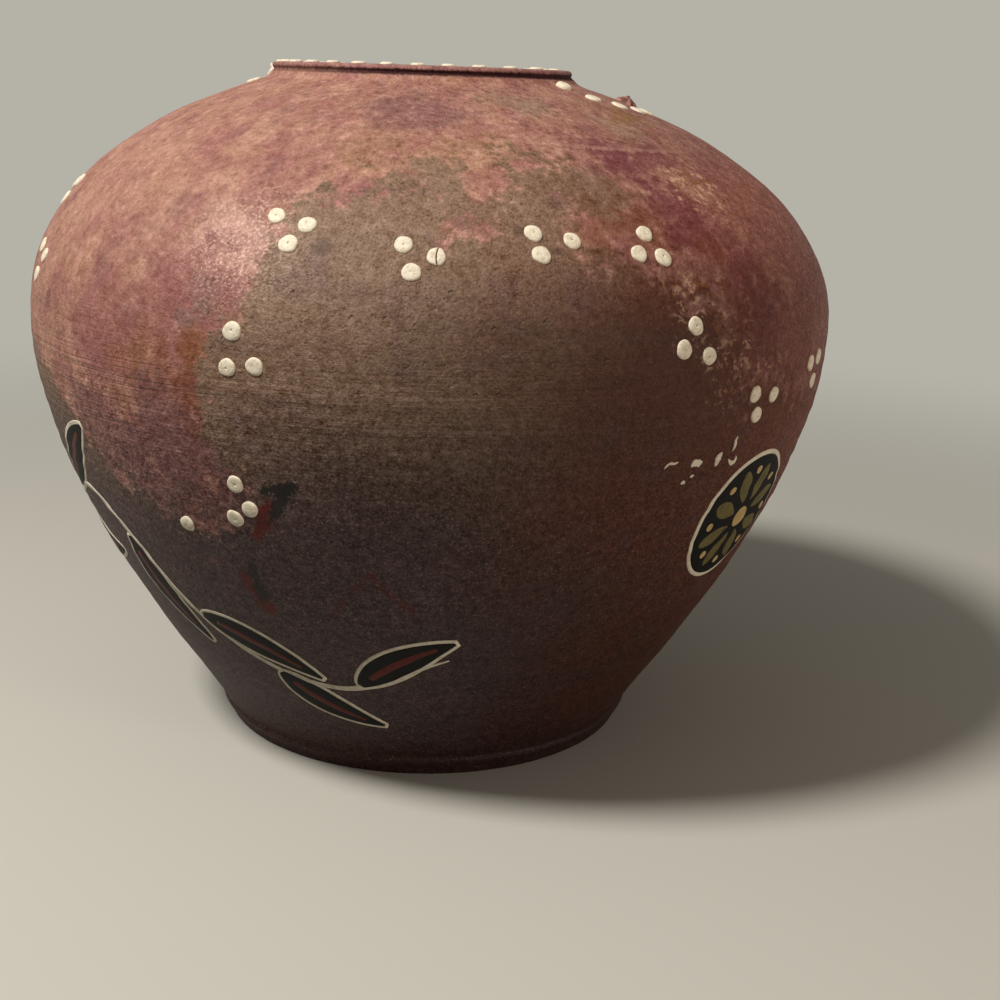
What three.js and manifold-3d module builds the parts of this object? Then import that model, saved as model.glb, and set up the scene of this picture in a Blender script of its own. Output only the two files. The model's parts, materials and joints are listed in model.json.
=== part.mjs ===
// A painted vase: a wide, hand-thrown jar of unglazed clay with a small turned lip,
// trimmed with raised dots of thick cream paint. Millimetres, +Z up, origin at the
// centre of the foot. Azimuths are in degrees round the jar, 0 at the front (-Y) and
// 90 at its right (+X).

import * as THREE from "three";
import { mergeVertices } from "three/addons/utils/BufferGeometryUtils.js";
import Module from "manifold-3d";

const wasm = await Module();
wasm.setup();

// Foot: the short band that the jar stands on
const FOOT_RADIUS = 40.2;
const FOOT_HEIGHT = 4;
const FOOT_FLARE = 1.4;

// Lower wall, from the foot up to the belly
const BELLY_RADIUS = 76;
const LOWER_WALL_HEIGHT = 76.8;
const LOWER_WALL_LEAN = 25;
const LOWER_WALL_SPRING = 0.08;
const LOWER_WALL_ROUNDNESS = 0.414;

// Shoulder, from the belly in to the neck
const SHOULDER_HEIGHT = 42.9;
const SHOULDER_ROUNDNESS = 0.534;
const SHOULDER_SPREAD = 0.51;
const SHOULDER_SLOPE = 17.2;

// Lip: a small turned bead over a shallow crease
const MOUTH_RADIUS = 24;
const LIP_WIDTH = 4.6;
const LIP_HEIGHT = 2.6;
const LIP_BEAD_RADIUS = 0.55;
const LIP_CREASE = 0.15;
const NECK_FLARE = 0.9;

// The jar's lean: the belly sits a hair to the right of the foot, and the mouth to the left
const BELLY_SHIFT = 0.54;
const MOUTH_SHIFT = 3.5;
const MOUTH_SHIFT_POWER = 2.3;

// Clay thickness
const WALL = 5;
const FLOOR = 6;
const FLOOR_CORNER = 7;

// Dots of thick paint
const DOT_RADIUS = 1.45;
const DOT_HEIGHT = 0.6;
const DOT_CROWN_SPREAD = 0.8;
const DOT_CROWN_START = 0.75;
const DOT_GAP = 0.2;
const RIM_DOT_RADIUS = 1.2;
const RIM_DOT_SPACING = 5.3;
const RIM_ROW_START = 103.75;
const RIM_ROW_SWEEP = 301.6;
const RIM_ROW_LOOSE_DOTS = 3;
const RIM_ROW_LOOSENING = 0.75;
const JOINED_DOT_ROOT = 0.4;

// Roundness of the mesh
const WALL_SEGMENTS = 72;
const DOT_SEGMENTS = 8;
const CURVE_STEPS = 10;

// Levels and radii that follow from the sizes above
const BELLY_LEVEL = FOOT_HEIGHT + LOWER_WALL_HEIGHT;
const NECK_LEVEL = BELLY_LEVEL + SHOULDER_HEIGHT;
const TOP_LEVEL = NECK_LEVEL + LIP_HEIGHT;
const LIP_RADIUS = MOUTH_RADIUS + LIP_WIDTH;
const NECK_RADIUS = LIP_RADIUS + NECK_FLARE;

const rad = THREE.MathUtils.degToRad;
const point = (x, y) => new THREE.Vector2(x, y);

// The outside of the lower wall leaves the foot at a lean and turns upright at the belly
const footTop = point(FOOT_RADIUS + FOOT_FLARE, FOOT_HEIGHT);
const belly = point(BELLY_RADIUS, BELLY_LEVEL);
const spring = LOWER_WALL_SPRING * LOWER_WALL_HEIGHT;
const lowerWall = new THREE.CubicBezierCurve(
  footTop,
  point(
    footTop.x + spring * Math.tan(rad(LOWER_WALL_LEAN)),
    footTop.y + spring,
  ),
  point(BELLY_RADIUS, BELLY_LEVEL - LOWER_WALL_ROUNDNESS * LOWER_WALL_HEIGHT),
  belly,
);

// The outside of the shoulder turns in from the belly and runs up to the neck at a gentle slope
const neck = point(NECK_RADIUS, NECK_LEVEL);
const shoulderRun = SHOULDER_SPREAD * (BELLY_RADIUS - NECK_RADIUS);
const shoulder = new THREE.CubicBezierCurve(
  belly,
  point(BELLY_RADIUS, BELLY_LEVEL + SHOULDER_ROUNDNESS * SHOULDER_HEIGHT),
  point(
    NECK_RADIUS + shoulderRun,
    NECK_LEVEL - shoulderRun * Math.tan(rad(SHOULDER_SLOPE)),
  ),
  neck,
);

// The lip: up from the neck into the crease, then round the bead to the flat top
const beadLevel = TOP_LEVEL - LIP_BEAD_RADIUS;
const lip = [
  point(LIP_RADIUS - LIP_CREASE, NECK_LEVEL + LIP_CREASE),
  point(LIP_RADIUS - LIP_CREASE, beadLevel - LIP_BEAD_RADIUS),
  point(LIP_RADIUS, beadLevel),
  point(LIP_RADIUS - LIP_BEAD_RADIUS, TOP_LEVEL),
  point(MOUTH_RADIUS + LIP_BEAD_RADIUS, TOP_LEVEL),
  point(MOUTH_RADIUS, beadLevel),
];

// A curve's points, each moved square to the curve into the clay by the wall's thickness
function insideOf(curve) {
  const inner = [];
  for (let i = 0; i <= CURVE_STEPS; i += 1) {
    const at = curve.getPointAt(i / CURVE_STEPS);
    const along = curve.getTangentAt(i / CURVE_STEPS);
    inner.push(point(at.x - along.y * WALL, at.y + along.x * WALL));
  }
  return inner;
}

// The inside of the jar from the mouth down to the middle of its floor
function insideProfile() {
  const wallPoints = [...insideOf(lowerWall), ...insideOf(shoulder).slice(1)];
  const cornerTop = FLOOR + FLOOR_CORNER;
  const clear = wallPoints.filter((p) => p.y > cornerTop && p.x > MOUTH_RADIUS);
  const first = clear[0];
  const floorEdge = new THREE.QuadraticBezierCurve(
    first,
    point(first.x - FLOOR_CORNER / 2, FLOOR),
    point(first.x - FLOOR_CORNER - FLOOR_CORNER / 2, FLOOR),
  );
  return [
    ...clear.reverse(),
    ...floorEdge.getPoints(CURVE_STEPS / 2).slice(1),
    point(0, FLOOR),
  ];
}

// The whole section, from the middle of the foot's underside round to the middle of the floor
function jarProfile() {
  return [
    point(0, 0),
    point(FOOT_RADIUS, 0),
    ...lowerWall.getSpacedPoints(CURVE_STEPS),
    ...shoulder.getSpacedPoints(CURVE_STEPS).slice(1),
    ...lip,
    ...insideProfile(),
  ];
}

// How far the jar's axis has drifted sideways at a level: it leans evenly to the right, and
// from the belly up it curves back to the left
function driftAt(level) {
  const rise = Math.max(0, level - BELLY_LEVEL) / (TOP_LEVEL - BELLY_LEVEL);
  return (BELLY_SHIFT * level) / BELLY_LEVEL - MOUTH_SHIFT * rise ** MOUTH_SHIFT_POWER;
}

// A body of revolution with its axis along +Z
function turned(profile, segments) {
  const geometry = new THREE.LatheGeometry(profile, segments);
  geometry.rotateX(Math.PI / 2);
  return geometry;
}

// A closed solid with one position for each corner and no faces without an area
function solid(geometry) {
  const bare = geometry.clone();
  bare.deleteAttribute("normal");
  bare.deleteAttribute("uv");
  const merged = mergeVertices(bare, 1e-4);
  const corners = Array.from(merged.index.array);
  const faces = [];
  for (let i = 0; i < corners.length; i += 3) {
    const [a, b, c] = corners.slice(i, i + 3);
    if (a !== b && b !== c && c !== a) {
      faces.push(a, b, c);
    }
  }
  return new wasm.Manifold(
    new wasm.Mesh({
      numProp: 3,
      vertProperties: new Float32Array(merged.attributes.position.array),
      triVerts: new Uint32Array(faces),
    }),
  );
}

function geometryOf(body) {
  const mesh = body.getMesh();
  const geometry = new THREE.BufferGeometry();
  geometry.setAttribute(
    "position",
    new THREE.BufferAttribute(mesh.vertProperties, mesh.numProp),
  );
  geometry.setIndex(new THREE.BufferAttribute(mesh.triVerts, 1));
  geometry.computeVertexNormals();
  return geometry;
}

// A dome of paint that rises from the XY plane, with a root under it where it joins the clay
function dome(radius, root) {
  const profile = [
    point(0, -root),
    point(radius, -root),
    point(radius * DOT_CROWN_SPREAD, DOT_HEIGHT * DOT_CROWN_START),
    point(0, DOT_HEIGHT),
  ];
  return turned(profile, DOT_SEGMENTS);
}

// A place on the jar's outside, by azimuth and by the share of the way along the wall:
// 0 at the belly, 1 at the neck, -1 at the top of the foot
function wallPoint(azimuth, share) {
  const curve = share < 0 ? lowerWall : shoulder;
  const at = curve.getPointAt(share < 0 ? 1 + share : share);
  const angle = rad(azimuth);
  return new THREE.Vector3(
    at.x * Math.sin(angle) + driftAt(at.y),
    -at.x * Math.cos(angle),
    at.y,
  );
}

// The place and the outward direction of a spot on the wall, from its neighbours on
// either side, above and below
function seatOn(azimuth, share) {
  const turn = 0.5;
  const climb = 0.01;
  const right = wallPoint(azimuth + turn, share);
  const left = wallPoint(azimuth - turn, share);
  const above = wallPoint(azimuth, Math.min(share + climb, 1));
  const below = wallPoint(azimuth, Math.max(share - climb, -1));
  return {
    at: wallPoint(azimuth, share),
    out: right.sub(left).cross(above.sub(below)).normalize(),
  };
}

// The same for a spot on the flat top of the lip
function seatOnLip(azimuth) {
  const radius = MOUTH_RADIUS + LIP_WIDTH / 2;
  const angle = rad(azimuth);
  return {
    at: new THREE.Vector3(
      radius * Math.sin(angle) + driftAt(TOP_LEVEL),
      -radius * Math.cos(angle),
      TOP_LEVEL,
    ),
    out: new THREE.Vector3(0, 0, 1),
  };
}

// Single rows of dots, as [azimuth, share of the shoulder], that run from the neck out
// over the shoulder at the jar's right and left
const NECK_ROWS = [
  [[56, 0.975], [57, 0.905], [64.5, 0.86], [73, 0.835], [81, 0.815]],
  [[-88, 0.985], [-82, 0.93]],
];

// The places of the row round the lip: evenly spaced, a little looser over the last dots,
// and broken off for a stretch at the right
function lipRow() {
  const length = rad(RIM_ROW_SWEEP) * (MOUTH_RADIUS + LIP_WIDTH / 2);
  const count = Math.round(length / RIM_DOT_SPACING);
  const seats = [];
  for (let i = 0; i <= count; i += 1) {
    const even = RIM_ROW_START + (i * RIM_ROW_SWEEP) / count;
    const late = Math.max(0, i + RIM_ROW_LOOSE_DOTS - count);
    seats.push(seatOnLip(even + RIM_ROW_LOOSENING * late * late));
  }
  return seats;
}

const clay = new THREE.MeshStandardMaterial({
  color: 0x76584f,
  roughness: 0.82,
  metalness: 0,
});
const dotPaint = new THREE.MeshStandardMaterial({
  color: 0xe4d9c2,
  roughness: 0.55,
  metalness: 0,
});

// The jar, with the small dots of the lip and the neck rows grown onto it
function vessel() {
  const wall = turned(jarProfile(), WALL_SEGMENTS);
  const position = wall.attributes.position;
  for (let i = 0; i < position.count; i += 1) {
    position.setX(i, position.getX(i) + driftAt(position.getZ(i)));
  }
  let body = solid(wall);
  const rim = dome(RIM_DOT_RADIUS, JOINED_DOT_ROOT);
  const large = dome(DOT_RADIUS, JOINED_DOT_ROOT);
  const rows = NECK_ROWS.flat().map(([azimuth, share]) => seatOn(azimuth, share));
  const joined = [
    ...lipRow().map((seat) => ({ ...seat, shape: rim })),
    ...rows.map((seat) => ({ ...seat, shape: large })),
  ];
  for (const { at, out, shape } of joined) {
    const placed = shape.clone();
    placed.applyQuaternion(
      new THREE.Quaternion().setFromUnitVectors(new THREE.Vector3(0, 0, 1), out),
    );
    placed.translate(at.x, at.y, at.z);
    body = body.add(solid(placed));
  }
  const mesh = new THREE.Mesh(geometryOf(body), clay);
  mesh.name = "vessel";
  return mesh;
}

// Trios of dots as [azimuth, share of the wall], in the order they follow the edge of the
// wash across the front, from the left
const FRONT_TRIOS = [
  [[-74.5, 0.395], [-76, 0.335], [-80, 0.38]],
  [[-70, 0.2], [-66, 0.18], [-68, 0.125]],
  [[-24.5, -0.22], [-23, -0.27], [-25.5, -0.295]],
  [[-23.5, 0.09], [-24, 0.01], [-20.5, 0.015]],
  [[-20.5, 0.37], [-16, 0.35], [-18, 0.3]],
  [[-3.5, 0.31], [0.5, 0.285], [-2.5, 0.245]],
  [[13, 0.345], [18, 0.325], [13.5, 0.29]],
  [[29, 0.34], [30.5, 0.28], [27, 0.29]],
  [[33, 0.115], [35, 0.04], [31, 0.06]],
  [[44.5, -0.055], [49, -0.065], [45.5, -0.1]],
  [[60.5, -0.03], [64.5, -0.025], [63, -0.07]],
];

// A dot that stands by itself below the wash at the left
const LONE_DOT = [-34, -0.335];

// Trios round the back, evenly spaced along a wave that joins the two ends of the front
const BACK_TRIO_COUNT = 8;
const BACK_TRIO_START = 88;
const BACK_TRIO_END = 267;
const BACK_WAVE_MIDDLE = 0.17;
const BACK_WAVE_SWING = 0.22;
const BACK_WAVES = 1.5;
const TRIO_SPREAD = 2.9;

function backTrios() {
  const trios = [];
  for (let i = 0; i < BACK_TRIO_COUNT; i += 1) {
    const along = i / (BACK_TRIO_COUNT - 1);
    const azimuth = BACK_TRIO_START + along * (BACK_TRIO_END - BACK_TRIO_START);
    const wave = Math.sin(along * BACK_WAVES * 2 * Math.PI);
    const share = BACK_WAVE_MIDDLE + BACK_WAVE_SWING * wave;
    const radius = wallPoint(azimuth, share).setZ(0).length();
    trios.push(
      [0, 1, 2].map((corner) => {
        const turn = rad(120 * corner + 47 * i);
        const sideways = TRIO_SPREAD * Math.cos(turn);
        const upward = TRIO_SPREAD * Math.sin(turn);
        return [
          azimuth + THREE.MathUtils.radToDeg(sideways / radius),
          share + upward / shoulder.getLength(),
        ];
      }),
    );
  }
  return trios;
}

// One raised dot, seated on the wall with a hair's gap under its flat back
function paintDot(name, azimuth, share) {
  const { at, out } = seatOn(azimuth, share);
  const mesh = new THREE.Mesh(dome(DOT_RADIUS, 0), dotPaint);
  mesh.name = name;
  mesh.quaternion.setFromUnitVectors(new THREE.Vector3(0, 0, 1), out);
  mesh.position.copy(at).addScaledVector(out, DOT_GAP);
  return mesh;
}

const vase = new THREE.Group();
vase.add(vessel());
[...FRONT_TRIOS, ...backTrios()].forEach((trio, i) => {
  const number = String(i + 1).padStart(2, "0");
  trio.forEach(([azimuth, share], corner) => {
    vase.add(paintDot(`trio_${number}_dot_${"abc"[corner]}`, azimuth, share));
  });
});
vase.add(paintDot("lone_dot", ...LONE_DOT));

export default vase;
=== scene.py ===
import json
import math

import bpy
import numpy as np
from mathutils import Matrix, Vector


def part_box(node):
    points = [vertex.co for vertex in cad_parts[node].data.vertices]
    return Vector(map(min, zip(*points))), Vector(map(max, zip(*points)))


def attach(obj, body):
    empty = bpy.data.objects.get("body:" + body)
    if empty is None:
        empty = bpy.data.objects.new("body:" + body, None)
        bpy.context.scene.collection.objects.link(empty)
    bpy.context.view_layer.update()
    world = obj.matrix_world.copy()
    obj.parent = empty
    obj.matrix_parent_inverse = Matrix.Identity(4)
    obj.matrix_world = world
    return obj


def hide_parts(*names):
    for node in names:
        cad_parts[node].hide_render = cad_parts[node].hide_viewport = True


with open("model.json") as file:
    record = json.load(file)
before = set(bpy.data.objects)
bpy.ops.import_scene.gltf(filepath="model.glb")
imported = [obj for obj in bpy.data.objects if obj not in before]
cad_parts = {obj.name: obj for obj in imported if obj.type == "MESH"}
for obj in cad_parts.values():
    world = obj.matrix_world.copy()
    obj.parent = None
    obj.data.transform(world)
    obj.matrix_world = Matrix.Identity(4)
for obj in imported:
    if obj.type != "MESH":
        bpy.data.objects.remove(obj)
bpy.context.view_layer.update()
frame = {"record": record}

# The viewing angle
# The camera stands just under the level of the lip, two belly widths in front of the jar,
# and looks slightly down and to the right.

CAMERA_PLACE = Vector((0.00138, -0.29194, 0.12443))
CAMERA_TURN = math.radians(2.6)
CAMERA_DIP = math.radians(15.79)
CAMERA_ROLL = math.radians(1.86)
CAMERA_LENS = 53.54


def camera_axes(turn, dip, roll):
    """The camera's right, up and back: level and turned first, then dipped, then rolled."""
    right = Vector((math.cos(turn), -math.sin(turn), 0))
    ahead = Vector((math.sin(turn) * math.cos(dip), math.cos(turn) * math.cos(dip), -math.sin(dip)))
    up = right.cross(ahead)
    rolled_right = right * math.cos(roll) + up * math.sin(roll)
    rolled_up = up * math.cos(roll) - right * math.sin(roll)
    return rolled_right, rolled_up, -ahead


camera = bpy.data.objects.new("camera", bpy.data.cameras.new("camera"))
bpy.context.scene.collection.objects.link(camera)
camera.data.lens = CAMERA_LENS
camera.data.clip_start = 0.01
camera_frame = Matrix(camera_axes(CAMERA_TURN, CAMERA_DIP, CAMERA_ROLL)).transposed().to_4x4()
camera.matrix_world = Matrix.Translation(CAMERA_PLACE) @ camera_frame
bpy.context.scene.camera = camera


# The jar
# One piece of thrown and fired clay: a flat underside, a short foot, a wall that leans out
# to a round belly, a shoulder, and a small bead lip over a crease, thrown off centre.

MM = 0.001
FOOT_RADIUS = 40.2
FOOT_HEIGHT = 4.0
FOOT_FLARE = 1.4
FOOT_EDGE = 0.7
BELLY_RADIUS = 76.0
BELLY_LEVEL = 80.8
NECK_RADIUS = 30.6
NECK_LEVEL = 123.16
TOP_LEVEL = 126.3
LIP_RADIUS = 28.0
MOUTH_RADIUS = 24.0
BELLY_SHIFT = 0.54
MOUTH_SHIFT = 3.44
WALL = 5.0
FLOOR = 6.0
FLOOR_CORNER = 7.0
JAR_COLUMNS = 360


def bezier(start, pull_start, pull_end, end, count):
    """Points on a cubic curve: the four corners weighted by (1-t)^3, 3t(1-t)^2, 3t^2(1-t), t^3."""
    t = np.linspace(0, 1, count)[:, None]
    corners = [np.array(c, float) for c in (start, pull_start, pull_end, end)]
    weights = [(1 - t) ** 3, 3 * t * (1 - t) ** 2, 3 * t**2 * (1 - t), t**3]
    return sum(w * c for w, c in zip(weights, corners))


def rounded(points, times):
    """Corners cut off, several times over: each edge keeps the points at a quarter and three
    quarters of its length, and the two ends stay."""
    points = np.array(points, float)
    for _ in range(times):
        near = 0.75 * points[:-1] + 0.25 * points[1:]
        far = 0.25 * points[:-1] + 0.75 * points[1:]
        cut = np.stack([near, far], 1).reshape(-1, 2)
        points = np.concatenate([points[:1], cut, points[-1:]])
    return points


foot_top = FOOT_RADIUS + FOOT_FLARE
lower_wall = bezier(
    (foot_top, FOOT_HEIGHT),
    (foot_top + 2.86, FOOT_HEIGHT + 6.14),
    (BELLY_RADIUS, BELLY_LEVEL - 31.8),
    (BELLY_RADIUS, BELLY_LEVEL),
    240,
)
shoulder = bezier(
    (BELLY_RADIUS, BELLY_LEVEL),
    (BELLY_RADIUS, BELLY_LEVEL + 22.7),
    (NECK_RADIUS + 22.2, NECK_LEVEL - 6.24),
    (NECK_RADIUS, NECK_LEVEL),
    240,
)
foot_side = rounded(
    [
        (FOOT_RADIUS - FOOT_EDGE, 0),
        (FOOT_RADIUS, 0),
        (FOOT_RADIUS + 0.3, 1.2),
        (FOOT_RADIUS + 1.0, 2.2),
        (foot_top + 0.25, 3.0),
        (foot_top, FOOT_HEIGHT),
    ],
    3,
)
lip = rounded(
    [
        (NECK_RADIUS, NECK_LEVEL),
        (NECK_RADIUS - 1.6, NECK_LEVEL + 0.65),
        (LIP_RADIUS + 0.2, NECK_LEVEL + 1.6),
        (LIP_RADIUS - 0.3, NECK_LEVEL + 2.0),
        (LIP_RADIUS + 0.1, NECK_LEVEL + 2.35),
        (LIP_RADIUS, TOP_LEVEL - 0.2),
        (LIP_RADIUS - 0.6, TOP_LEVEL + 0.05),
        (MOUTH_RADIUS + 0.8, TOP_LEVEL + 0.05),
        (MOUTH_RADIUS - 0.1, TOP_LEVEL - 0.3),
        (MOUTH_RADIUS, TOP_LEVEL - 1.4),
    ],
    3,
)
outline = np.concatenate([foot_side, lower_wall[1:], shoulder[1:], lip[1:]])


def distance_along(points):
    """The length of a line of points up to each of them: the running sum of its steps."""
    return np.concatenate([[0], np.cumsum(np.hypot(*np.diff(points, axis=0).T))])


def square_out(points):
    """At each point, the direction square to the line and to its right: out of the clay."""
    tangent = np.gradient(points, axis=0)
    tangent /= np.hypot(*tangent.T)[:, None]
    return np.stack([tangent[:, 1], -tangent[:, 0]], 1)


outline_along = distance_along(outline)
outline_out = square_out(outline)
NECK_ALONG = outline_along[len(foot_side) + len(lower_wall) + len(shoulder) - 3]
FOOT_ALONG = outline_along[len(foot_side) - 1]


def drift(level):
    """How far the jar's axis has moved sideways: an even lean to the right, less the way from
    belly to lip raised to 2.13."""
    rise = np.clip((level - BELLY_LEVEL) / (TOP_LEVEL - BELLY_LEVEL), 0, None)
    return BELLY_SHIFT * level / BELLY_LEVEL - MOUTH_SHIFT * rise**2.13


def throwing(azimuth, along):
    """The hand's marks in mm: an oval once round, broad swells, and narrow ridges that climb
    the wall and are strongest halfway up it. Each is a sine of the distance along the wall,
    faded out at the foot and the neck."""
    turn = np.radians(azimuth)
    oval = 0.15 * np.cos(2 * turn + 0.4)
    swell = 0.07 * np.sin(2 * np.pi * along / 19 + 0.7 * np.sin(turn))
    ridge = 0.05 * np.sin(2 * np.pi * along / 4.3 + turn + 0.8 * np.sin(2 * turn))
    fine = 0.03 * np.sin(2 * np.pi * along / 2.9 - turn + 0.6 * np.sin(3 * turn + 1))
    halfway = 0.25 + 0.75 * np.exp(-(((along - 66) / 22) ** 2))
    fade = np.clip((along - FOOT_ALONG) / 12, 0, 1) * np.clip((NECK_ALONG - along) / 10, 0, 1)
    return fade * (oval + swell + halfway * (ridge + fine))


def on_wall(azimuth, along, lift=0.0):
    """Points on the outside in mm, from the azimuth in degrees, the distance along the outline
    from the foot's edge, and a lift square to the wall."""
    turn = np.radians(azimuth)
    radius = np.interp(along, outline_along, outline[:, 0])
    level = np.interp(along, outline_along, outline[:, 1])
    lift = lift + throwing(azimuth, along)
    reach = radius + lift * np.interp(along, outline_along, outline_out[:, 0])
    height = level + lift * np.interp(along, outline_along, outline_out[:, 1])
    return np.stack([reach * np.sin(turn) + drift(level), -reach * np.cos(turn), height], -1)


def put_mesh(name, points, faces):
    """A mesh object at the origin from points in mm and lists of corner numbers."""
    mesh = bpy.data.meshes.new(name)
    corners = [row for block in faces for row in np.asarray(block).tolist()]
    mesh.from_pydata((np.asarray(points) * MM).tolist(), [], corners)
    mesh.polygons.foreach_set("use_smooth", np.ones(len(mesh.polygons), bool))
    piece = bpy.data.objects.new(name, mesh)
    bpy.context.scene.collection.objects.link(piece)
    return piece


def ring_faces(rows, columns, first=0):
    """Four-cornered faces between neighbouring rows of a grid that closes round its columns."""
    row, column = np.meshgrid(np.arange(rows - 1), np.arange(columns), indexing="ij")
    ahead = (column + 1) % columns
    corners = [row * columns + column, row * columns + ahead]
    corners += [(row + 1) * columns + ahead, (row + 1) * columns + column]
    return first + np.stack(corners, -1).reshape(-1, 4)


def cap_faces(row, columns, centre, first=0, inward=False):
    """Three-cornered faces from one row of such a grid to a single point."""
    column = np.arange(columns)
    ahead = (column + 1) % columns
    fan = [row * columns + ahead, row * columns + column]
    if inward:
        fan.reverse()
    return np.stack([first + fan[0], first + fan[1], np.full(columns, centre)], -1)


def inside_line():
    """The outline moved into the clay by the wall's thickness, from the mouth down, then a
    round corner and a flat floor."""
    wall = np.concatenate([lower_wall, shoulder[1:]])
    inner = wall - square_out(wall) * WALL
    clear = inner[(inner[:, 1] > FLOOR + FLOOR_CORNER) & (inner[:, 0] > MOUTH_RADIUS + 1)]
    first = clear[0]
    corner = bezier(
        first,
        (first[0] - 3.5, FLOOR + 1.5),
        (first[0] - 5.0, FLOOR),
        (first[0] - 11.0, FLOOR),
        10,
    )
    floor = np.array([(r, FLOOR) for r in (20.0, 12.0, 6.0, 2.0)])
    return np.concatenate([clear[::-1][::11], corner[1:], floor])


azimuths = np.arange(JAR_COLUMNS) * 360 / JAR_COLUMNS
outside_rows = np.concatenate(
    [
        np.arange(0, FOOT_ALONG, 0.4),
        np.arange(FOOT_ALONG, NECK_ALONG - 1, 0.96),
        np.linspace(NECK_ALONG - 1, outline_along[-1], 36),
    ]
)
outside = on_wall(azimuths[None, :], outside_rows[:, None])
underside_radii = np.array([2.0, 9.0, 18.0, 28.0, 36.0])[:, None]
underside = np.stack(
    [
        underside_radii * np.sin(np.radians(azimuths)),
        -underside_radii * np.cos(np.radians(azimuths)),
        np.zeros((len(underside_radii), JAR_COLUMNS)),
    ],
    -1,
)
inner = inside_line()
inner_along = distance_along(inner)
rib = 0.22 * np.sin(2 * np.pi * inner_along / 6.5) * (inner[:, 1] > FLOOR + 1)
inner_radii = (inner[:, 0] + rib)[:, None]
inner_levels = np.repeat(inner[:, 1:2], JAR_COLUMNS, 1)
inside = np.stack(
    [
        inner_radii * np.sin(np.radians(azimuths)) + drift(inner_levels),
        -inner_radii * np.cos(np.radians(azimuths)),
        inner_levels,
    ],
    -1,
)
jar_grid = np.concatenate([underside, outside, inside])
jar_rows = len(jar_grid)
jar_points = np.concatenate([jar_grid.reshape(-1, 3), [[0, 0, 0], [0, 0, FLOOR]]])
jar = put_mesh(
    "vessel_clay",
    jar_points,
    [
        ring_faces(jar_rows, JAR_COLUMNS),
        cap_faces(0, JAR_COLUMNS, len(jar_points) - 2),
        cap_faces(jar_rows - 1, JAR_COLUMNS, len(jar_points) - 1, inward=True),
    ],
)

# Where the wash of colour ends, as azimuth in degrees and level in mm, from the left of the
# front round to the back, with how soft the edge is there
WASH_EDGE = [
    (-180, 98, 4), (-160, 92, 4), (-140, 80, 4), (-118, 76, 3), (-96, 84, 3), (-72, 80, 2.5),
    (-60, 72, 2.5), (-50, 62, 2.5), (-41, 55, 2.5), (-32, 52, 2.5), (-26, 53, 2), (-23.5, 58, 2),
    (-23.5, 64, 1.8), (-26, 69, 1.8), (-27.5, 74, 1.8), (-26.5, 84, 1.8), (-23, 88, 1.8),
    (-21.5, 95, 1.8), (-17.5, 105, 2.5), (-14, 106.5, 3), (-5, 109.3, 3), (3.5, 109.5, 3),
    (2, 106, 3), (2, 101, 2.5), (6.5, 101, 2.5), (7.5, 104.5, 3), (10.5, 109, 3), (12, 112, 3),
    (20, 112, 3), (21, 107, 3), (17.5, 102.6, 2.5), (18, 99.5, 2.5), (26, 98, 2.5), (30, 96, 3),
    (33, 92, 3), (37, 87.4, 3), (40, 80.8, 3), (46, 76, 4), (64, 74, 4), (84, 82, 4),
    (104, 96, 5), (124, 101, 5), (142, 96, 4), (160, 97, 4), (180, 98, 4),
]


def wash_reach(azimuth, level):
    """How far inside the wash a point is, in edge widths: its distance to the broken line of
    the edge, positive where a plumb line down from it crosses the edge an odd number of
    times."""
    edge = np.array(WASH_EDGE, float)
    scale = np.radians(1) * 72
    here = np.stack([azimuth * scale, level], -1)[:, None, :]
    start = edge[:-1, :2] * (scale, 1)
    side = (edge[1:, :2] - edge[:-1, :2]) * (scale, 1)
    share = np.clip(((here - start) * side).sum(-1) / (side**2).sum(-1), 0, 1)
    gap = np.linalg.norm(here - start - share[..., None] * side, axis=-1).min(1)
    over = (here[..., 0] - start[:, 0]) / np.where(side[:, 0] == 0, 1e-9, side[:, 0])
    crossed = (over >= 0) & (over < 1) & (here[..., 1] > start[:, 1] + over * side[:, 1])
    nearest = np.linalg.norm(here - start, axis=-1).argmin(1)
    return np.where(crossed.sum(1) % 2 == 1, gap, -gap) / edge[nearest, 2]


jar_levels = jar_points[:, 2]
jar_azimuths = np.degrees(np.arctan2(jar_points[:, 0] - drift(jar_levels), -jar_points[:, 1]))
first_inside = (len(underside) + len(outside)) * JAR_COLUMNS
reach = wash_reach(jar_azimuths, jar_levels)
reach[first_inside:] = -9
wash = jar.data.attributes.new("wash", "FLOAT", "POINT")
wash.data.foreach_set("value", np.clip(reach, -9, 9).astype(np.float32))
row_along = np.concatenate(
    [underside_radii[:, 0] - FOOT_RADIUS, outside_rows, outline_along[-1] + inner_along]
)
jar_along = np.append(np.repeat(row_along, JAR_COLUMNS), [-FOOT_RADIUS, row_along[-1] + 2])
turns = np.append(np.tile(np.radians(azimuths), jar_rows), [0, 0])
spread_radius = np.hypot(jar_points[:, 0] - drift(jar_levels), jar_points[:, 1])
spread_radius = np.sqrt(BELLY_RADIUS * spread_radius)
spread_points = [spread_radius * np.sin(turns), -spread_radius * np.cos(turns), jar_along]
spread = jar.data.attributes.new("spread", "FLOAT_VECTOR", "POINT")
spread.data.foreach_set("vector", np.stack(spread_points, -1).astype(np.float32).ravel())
hollow = jar.data.attributes.new("hollow", "FLOAT", "POINT")
hollow.data.foreach_set("value", (np.arange(len(jar_points)) >= first_inside).astype(np.float32))


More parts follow.
